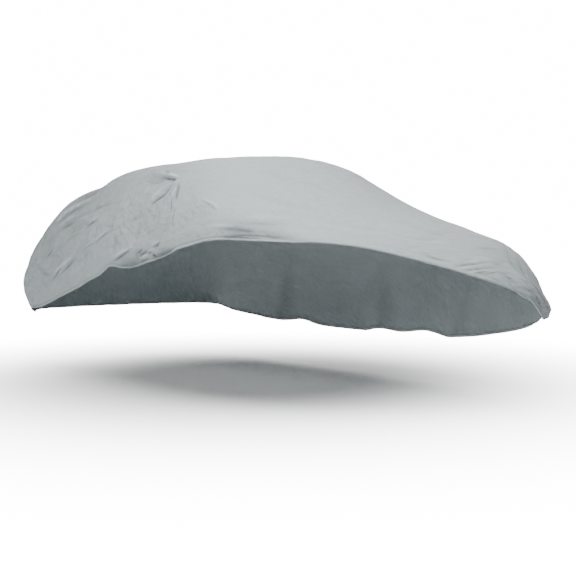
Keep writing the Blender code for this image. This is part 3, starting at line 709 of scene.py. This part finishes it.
def detail_wanted(points, normal):
    """How fine the cells have to be: 1 beside the creases, 2 right on the sharp ones, 0 elsewhere."""
    wanted = np.zeros(len(points), int)
    views = (
        (SIDE_CREASES, [0, 2], -normal[:, 1]),
        (TOP_CREASES, [0, 1], normal[:, 2]),
        (FRONT_CREASES, [1, 2], normal[:, 0]),
    )
    for creases, axes, faces in views:
        for crease in creases:
            gap, _, _ = nearest_on_line(points[:, axes], *crease_line(crease))
            narrow = crease.width <= SOFT_WIDTH
            beside = (gap < FINE_SHARE * crease.width + FINE_EXTRA) & (faces > LEAST_FACING)
            wanted = np.maximum(wanted, beside & narrow)
            sharp = crease.width <= SHARP_WIDTH and abs(crease.rise) >= SHARP_RISE
            close = (gap < crease.width + FINEST_EXTRA) & (faces > LEAST_FACING)
            wanted = np.maximum(wanted, 2 * (close & sharp))
    return wanted


# ---------------------------------------------------------------- pieces


def new_piece(bm, name, material):
    """Makes a finished bmesh an object in the scene."""
    mesh = bpy.data.meshes.new(name)
    bm.to_mesh(mesh)
    bm.free()
    mesh.materials.append(material)
    piece = bpy.data.objects.new(name, mesh)
    bpy.context.scene.collection.objects.link(piece)
    return piece


def flat_cloth(rows, columns, detail_at, material):
    """The cloth as a flat sheet of cells, split finer beside the creases, and the row and column of each vertex."""
    bm = bmesh.new()
    bmesh.ops.create_grid(bm, x_segments=rows - 1, y_segments=columns - 1, size=0.5)
    hem = len(HEM_ROLL) - 1
    for level, cuts in ((1, 2), (2, 1)):
        faces = list(bm.faces)
        centre = np.array([face.calc_center_median()[:2] for face in faces]) + 0.5
        row, column = centre[:, 0] * (rows - 1), centre[:, 1] * (columns - 1)
        wanted = detail_at(row, column) >= level
        wanted &= (row > hem) & (row < rows - 1 - hem) & (column > hem) & (column < columns - 1 - hem)
        edges = {edge for face, split in zip(faces, wanted) if split for edge in face.edges}
        bmesh.ops.subdivide_edges(bm, edges=list(edges), cuts=cuts, use_grid_fill=True)
    cloth = new_piece(bm, "cover_cloth", material)
    flat = np.empty(len(cloth.data.vertices) * 3)
    cloth.data.vertices.foreach_get("co", flat)
    flat = flat.reshape(-1, 3) + 0.5
    return cloth, flat[:, 0] * (rows - 1), flat[:, 1] * (columns - 1)


def sewn_line(row, column, rows, columns):
    """The vertices along the closed line of sewing round the cover, in order."""
    inset = [gap for gap, _ in HEM_ROLL].index(STITCH_ROW, 5)
    high_row, high_column = rows - 1 - inset, columns - 1 - inset

    def on(values, at):
        return np.abs(values - at) < 0.01

    between_rows = (row > inset - 0.01) & (row < high_row + 0.01)
    between_columns = (column > inset - 0.01) & (column < high_column + 0.01)
    sides = (
        (on(column, inset) & between_rows, row, 1),
        (on(row, high_row) & between_columns, column, 1),
        (on(column, high_column) & between_rows, row, -1),
        (on(row, inset) & between_columns, column, -1),
    )
    line = []
    for chosen, order, way in sides:
        picked = np.flatnonzero(chosen)
        line.extend(picked[np.argsort(way * order[picked])][:-1])
    return np.array(line)


def make_cloth(material):
    """The cover's cloth. Returns it and the points and outward directions along its row of sewing."""
    form = Form()
    share, extra, column_gap, column_rise = column_tables()
    places = row_places(form, share, extra)
    rows, columns = places.shape
    row_gap, row_rise = row_tables(rows)

    spread = [np.broadcast_to(values, places.shape).ravel() for values in (share, extra)]
    coarse, coarse_normal = (
        values.reshape(rows, columns, 3) for values in form.point_and_normal(places.ravel(), *spread)
    )

    def detail_at(row, column):
        return detail_wanted(blend_vectors(coarse, row, column), blend_vectors(coarse_normal, row, column))

    cloth, row, column = flat_cloth(rows, columns, detail_at, material)

    across = [np.interp(column, np.arange(columns), values) for values in (share, extra, column_gap, column_rise)]
    along = [np.interp(row, np.arange(rows), values) for values in (row_gap, row_rise)]
    points, normal = form.point_and_normal(blend_table(places, row, column), across[0], across[1])
    run_u = blend_table(run_along(coarse), row, column)
    run_v = blend_table(run_along(coarse.transpose(1, 0, 2)).T, row, column)

    right = steps_up(*SIDE_FACING, -normal[:, 1])
    upward = steps_up(*OTHER_FACING, normal[:, 2])
    forwards = steps_up(*OTHER_FACING, normal[:, 0])
    creases = [crease_rise(crease, points[:, [0, 2]], right) for crease in SIDE_CREASES]
    creases += [crease_rise(crease, points[:, :2], upward) for crease in TOP_CREASES]
    creases += [crease_rise(crease, points[:, 1:], forwards) for crease in FRONT_CREASES]
    folds = [fold_rise(fold, points) for fold in FOLDS]
    rise = sum(creases) + sum(folds) + loose_rise(points, normal)
    by_side = across[2] < along[0]
    gap = np.where(by_side, across[2], along[0])
    rise += hem_gathers(gap, np.where(by_side, run_u, run_v + 20))
    rise += np.where(np.abs(across[3]) > np.abs(along[1]), across[3], along[1])
    finished = points + rise[:, None] * normal - CROWN

    mesh = cloth.data
    mesh.vertices.foreach_set("co", finished.ravel())
    mesh.update()
    corner = np.empty(len(mesh.loops), dtype=np.int32)
    mesh.loops.foreach_get("vertex_index", corner)
    layer = mesh.uv_layers.new(name="cloth_metres")
    layer.data.foreach_set("uv", np.stack([run_u, run_v], axis=1)[corner].astype(np.float32).ravel())
    # Painted shade in the sunk creases, the deep main folds and the groove beside the sewing, and a painted highlight
    # on the raised creases and the rolled edge, handed to the material as attributes
    narrow = [min(1, SHARP_WIDTH / crease.width) ** 1.5 for crease in (*SIDE_CREASES, *TOP_CREASES, *FRONT_CREASES)]
    sunk = sum(part * np.clip(-crease / CREASE_DEPTH, 0, 1) for part, crease in zip(narrow, creases))
    raised = sum(part * np.clip(crease / CREASE_DEPTH, 0, 1) for part, crease in zip(narrow, creases))
    hollow = sum(np.clip(-fold / HOLLOW_DEPTH, 0, 1) ** 2 for fold in folds)
    sewn = np.exp(-(((gap - STITCH_ROW - SEWN_OFFSET) / SEWN_SPREAD) ** 2))
    edge = steps_up(*EDGE_BAND, gap)
    shades = (
        ("crease_shade", sunk + HOLLOW_SHADE * hollow + SEWN_SHADE * sewn),
        ("ridge_highlight", raised + EDGE_HIGHLIGHT * edge),
        ("looseness", looseness_at(points, normal, right)),
    )
    for name, values in shades:
        layer = mesh.attributes.new(name, "FLOAT", "POINT")
        layer.data.foreach_set("value", np.clip(values, 0, 1).astype(np.float32))
    mesh.shade_smooth()
    line = sewn_line(row, column, rows, columns)
    return cloth, finished[line], normal[line]


def make_stitching(line, outward, material):
    """The row of stitches that holds the turned hem, each one a short thread lying on the cloth."""
    closed = np.vstack([line, line[:1]])
    outward = np.vstack([outward, outward[:1]])
    run = run_along(closed)
    count = round(run[-1] / STITCH_PITCH)
    at = (np.arange(count) + 0.5) * run[-1] / count
    half = STITCH_LENGTH / 2

    def read(values, places):
        return np.stack([np.interp(places, run, values[:, k]) for k in range(3)], axis=1)

    bm = bmesh.new()
    for place, front, back, up in zip(*(read(closed, at + shift) for shift in (0, half, -half)), read(outward, at)):
        forwards = Vector(front - back).normalized()
        side = Vector(up).cross(forwards).normalized()
        top = forwards.cross(side)
        turned = Matrix((forwards * half, side * STITCH_HALF, top * STITCH_HALF)).transposed().to_4x4()
        turned.translation = Vector(place) + top * STITCH_HALF * 0.4
        bmesh.ops.create_icosphere(bm, subdivisions=1, radius=1, matrix=turned)
    stitching = new_piece(bm, "hem_stitching", material)
    stitching.data.shade_smooth()
    return stitching


# ---------------------------------------------------------------- materials


class Nodes:
    """Short ways to add and link nodes in one tree."""

    def __init__(self, tree):
        self.tree = tree

    def add(self, kind, **values):
        node = self.tree.nodes.new("ShaderNode" + kind)
        for name, value in values.items():
            setattr(node, name, value)
        return node

    def link(self, source, target):
        self.tree.links.new(source, target)

    def math(self, operation, first, second):
        node = self.add("Math", operation=operation)
        for socket, value in zip(node.inputs, (first, second)):
            if isinstance(value, bpy.types.NodeSocket):
                self.link(value, socket)
            else:
                socket.default_value = value
        return node.outputs[0]

    def noise(self, coordinates, scale, detail=3, roughness=0.5):
        node = self.add("TexNoise")
        node.inputs["Scale"].default_value = scale
        node.inputs["Detail"].default_value = detail
        node.inputs["Roughness"].default_value = roughness
        self.link(coordinates, node.inputs["Vector"])
        return node.outputs["Fac"]

    def attribute(self, name):
        return self.add("Attribute", attribute_name=name).outputs["Fac"]

    def spread(self, value, low, high):
        """A value between 0 and 1, laid out between low and high."""
        node = self.add("MapRange")
        node.inputs["To Min"].default_value = low
        node.inputs["To Max"].default_value = high
        self.link(value, node.inputs["Value"])
        return node.outputs["Result"]

    def tone(self, value, dark, light, ends=(0, 1)):
        """A colour from dark to light as the value goes from one end to the other."""
        node = self.add("ValToRGB")
        for stop, place, colour in zip(node.color_ramp.elements, ends, (dark, light)):
            stop.position = place
            stop.color = colour
        self.link(value, node.inputs["Fac"])
        return node.outputs["Color"]

    def bump(self, height, strength, distance):
        node = self.add("Bump")
        node.inputs["Strength"].default_value = strength
        node.inputs["Distance"].default_value = distance
        self.link(height, node.inputs["Height"])
        return node


def new_material(name):
    material = bpy.data.materials.new(name)
    material.use_nodes = True
    return material, Nodes(material.node_tree), material.node_tree.nodes["Principled BSDF"]


def felt_group():
    """Non-woven cloth: matted fibres and the small pressed dots that bind them, as a height and a mottling."""
    group = bpy.data.node_groups.new("pressed_felt", "ShaderNodeTree")
    group.interface.new_socket("Place", in_out="INPUT", socket_type="NodeSocketVector")
    group.interface.new_socket("Dot Pitch", in_out="INPUT", socket_type="NodeSocketFloat")
    group.interface.new_socket("Height", in_out="OUTPUT", socket_type="NodeSocketFloat")
    group.interface.new_socket("Mottling", in_out="OUTPUT", socket_type="NodeSocketFloat")
    nodes = Nodes(group)
    place = group.nodes.new("NodeGroupInput")
    out = group.nodes.new("NodeGroupOutput")
    fibres = nodes.noise(place.outputs["Place"], FIBRE_OFTEN, detail=4, roughness=0.7)
    matting = nodes.noise(place.outputs["Place"], MATTING_OFTEN)
    dots = nodes.add("TexVoronoi", feature="F1")
    dots.inputs["Randomness"].default_value = 0.15
    nodes.link(place.outputs["Place"], dots.inputs["Vector"])
    nodes.link(nodes.math("DIVIDE", 1.0, place.outputs["Dot Pitch"]), dots.inputs["Scale"])
    pressed = nodes.math("MINIMUM", nodes.math("MULTIPLY", dots.outputs["Distance"], 2.6), 1.0)
    height = nodes.math("ADD", nodes.math("MULTIPLY", fibres, 0.55), nodes.math("MULTIPLY", pressed, 0.45))
    mottling = nodes.math("ADD", nodes.math("MULTIPLY", matting, 0.6), nodes.math("MULTIPLY", fibres, 0.4))
    nodes.link(height, out.inputs["Height"])
    nodes.link(mottling, out.inputs["Mottling"])
    return group


def cloth_material():
    """Pale grey non-woven cloth, with painted shade in its creases, hollows and sewn groove, painted highlights on its
    raised ridges and rolled edge, and uneven in tone from handling.
    """
    material, nodes, shader = new_material("grey_cloth")
    shader.inputs["Specular IOR Level"].default_value = 0.25
    shader.inputs["Sheen Weight"].default_value = 0.12
    shader.inputs["Sheen Roughness"].default_value = 0.6
    place = nodes.add("UVMap", uv_map="cloth_metres").outputs["UV"]
    felt = nodes.add("Group", node_tree=felt_group())
    felt.inputs["Dot Pitch"].default_value = DOT_PITCH
    nodes.link(place, felt.inputs["Place"])
    nodes.link(nodes.spread(felt.outputs["Height"], *ROUGHNESS), shader.inputs["Roughness"])

    handled = nodes.noise(nodes.add("TexCoord").outputs["Object"], HANDLED_OFTEN, detail=4)
    # Painted shade darkens the cloth in its creases, hollows and sewn groove
    shaded = nodes.math("SUBTRACT", 1.0, nodes.math("MULTIPLY", nodes.attribute("crease_shade"), SHADE_STRENGTH))
    # A painted highlight lightens the raised ridges and the rolled edge
    painted_light = nodes.math("ADD", shaded, nodes.math("MULTIPLY", nodes.attribute("ridge_highlight"), HIGHLIGHT_STRENGTH))
    toned = nodes.add("Mix", data_type="RGBA", blend_type="MULTIPLY")
    toned.inputs["Factor"].default_value = 1
    nodes.link(nodes.tone(felt.outputs["Mottling"], CLOTH_DARK, CLOTH_LIGHT, (0.30, 0.70)), toned.inputs["A"])
    nodes.link(nodes.math("MULTIPLY", nodes.spread(handled, *HANDLING), painted_light), toned.inputs["B"])
    nodes.link(toned.outputs["Result"], shader.inputs["Base Color"])

    drawn = nodes.add("Mapping", vector_type="TEXTURE")
    drawn.inputs["Rotation"].default_value = (0, 0, DRAWN_TURN)
    drawn.inputs["Scale"].default_value = (DRAWN_STRETCH, 1, 1)
    nodes.link(place, drawn.inputs["Vector"])
    crumple = nodes.noise(drawn.outputs["Vector"], CRUMPLE_OFTEN)
    wrinkle = nodes.math("MULTIPLY", nodes.noise(drawn.outputs["Vector"], WRINKLE_OFTEN, detail=2), 2.0)
    height = nodes.math("MULTIPLY", nodes.math("ADD", crumple, wrinkle), nodes.attribute("looseness"))
    wrinkles = nodes.bump(height, 0.8, WRINKLE_HEIGHT)
    fibres = nodes.bump(felt.outputs["Height"], 0.35, FIBRE_HEIGHT)
    nodes.link(wrinkles.outputs["Normal"], fibres.inputs["Normal"])
    nodes.link(fibres.outputs["Normal"], shader.inputs["Normal"])
    return material


def thread_material():
    """The hem's sewing thread: grey, twisted, with a slight sheen."""
    material, nodes, shader = new_material("grey_thread")
    shader.inputs["Roughness"].default_value = 0.55
    shader.inputs["Sheen Weight"].default_value = 0.2
    strands = nodes.noise(nodes.add("TexCoord").outputs["Object"], STRAND_OFTEN, detail=2)
    nodes.link(nodes.tone(strands, THREAD_DARK, THREAD_LIGHT), shader.inputs["Base Color"])
    nodes.link(nodes.bump(strands, 0.5, STRAND_HEIGHT).outputs["Normal"], shader.inputs["Normal"])
    return material


def floor_material():
    """A pale floor that takes the soft shadow under the cover and fades to a bright studio white away from it."""
    material, nodes, shader = new_material("pale_floor")
    shader.inputs["Base Color"].default_value = (0.90, 0.90, 0.90, 1)
    shader.inputs["Roughness"].default_value = 0.8
    shader.inputs["Emission Color"].default_value = (1, 1, 1, 1)
    away = nodes.add("VectorMath", operation="LENGTH")
    nodes.link(nodes.add("TexCoord").outputs["Object"], away.inputs[0])
    fade = nodes.add("MapRange", interpolation_type="SMOOTHSTEP")
    for name, value in zip(("From Min", "From Max", "To Min", "To Max"), (*FLOOR_FADE, 0, STUDIO_WHITE)):
        fade.inputs[name].default_value = value
    nodes.link(away.outputs["Value"], fade.inputs["Value"])
    seen = nodes.add("LightPath").outputs["Is Camera Ray"]
    nodes.link(nodes.math("MULTIPLY", fade.outputs["Result"], seen), shader.inputs["Emission Strength"])
    return material


# ---------------------------------------------------------------- studio


def make_floor():
    """A flat, pale floor on the ground below the cover."""
    bm = bmesh.new()
    bmesh.ops.create_grid(bm, x_segments=1, y_segments=1, size=FLOOR_SIZE)
    bmesh.ops.translate(bm, verts=bm.verts, vec=(0, 0, -CROWN[2]))
    new_piece(bm, "studio_floor", floor_material())


def make_lights():
    """An even white surrounding and large soft lights."""
    world = bpy.data.worlds.new("studio")
    bpy.context.scene.world = world
    world.use_nodes = True
    nodes = Nodes(world.node_tree)
    background = world.node_tree.nodes["Background"]
    background.inputs["Color"].default_value = (1, 1, 1, 1)
    seen = nodes.add("LightPath").outputs["Is Camera Ray"]
    strength = nodes.math("MULTIPLY", seen, STUDIO_WHITE - STUDIO_FILL)
    nodes.link(nodes.math("ADD", strength, STUDIO_FILL), background.inputs["Strength"])
    for lamp in LAMPS:
        data = bpy.data.lights.new(lamp.name, "AREA")
        data.shape = "ELLIPSE"
        data.size = lamp.length
        data.size_y = lamp.width
        data.energy = lamp.power
        light = bpy.data.objects.new(lamp.name, data)
        light.location = lamp.place
        light.rotation_euler = (Vector(lamp.target) - Vector(lamp.place)).to_track_quat("-Z", "Y").to_euler()
        bpy.context.scene.collection.objects.link(light)


def make_camera():
    data = bpy.data.cameras.new("photo_view")
    data.lens = CAMERA_LENS
    data.sensor_width = SENSOR_WIDTH
    camera = bpy.data.objects.new("photo_view", data)
    camera.location = CAMERA_PLACE - CROWN
    flat = math.cos(CAMERA_PITCH)
    sight = Vector((-math.cos(CAMERA_HEADING) * flat, math.sin(CAMERA_HEADING) * flat, -math.sin(CAMERA_PITCH)))
    camera.rotation_euler = sight.to_track_quat("-Z", "Y").to_euler()
    bpy.context.scene.collection.objects.link(camera)
    bpy.context.scene.camera = camera


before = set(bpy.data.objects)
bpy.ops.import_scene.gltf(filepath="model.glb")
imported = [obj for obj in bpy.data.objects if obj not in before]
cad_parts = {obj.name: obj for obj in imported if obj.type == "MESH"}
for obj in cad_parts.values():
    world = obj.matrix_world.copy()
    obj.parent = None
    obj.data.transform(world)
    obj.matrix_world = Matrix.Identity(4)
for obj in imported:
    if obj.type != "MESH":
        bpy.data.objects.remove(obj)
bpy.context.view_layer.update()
cloth, sewn, outward = make_cloth(cloth_material())
stitching = make_stitching(sewn, outward, thread_material())
for piece in (cloth, stitching):
    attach(piece, "root")
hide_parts("cover")
make_floor()
make_lights()
make_camera()
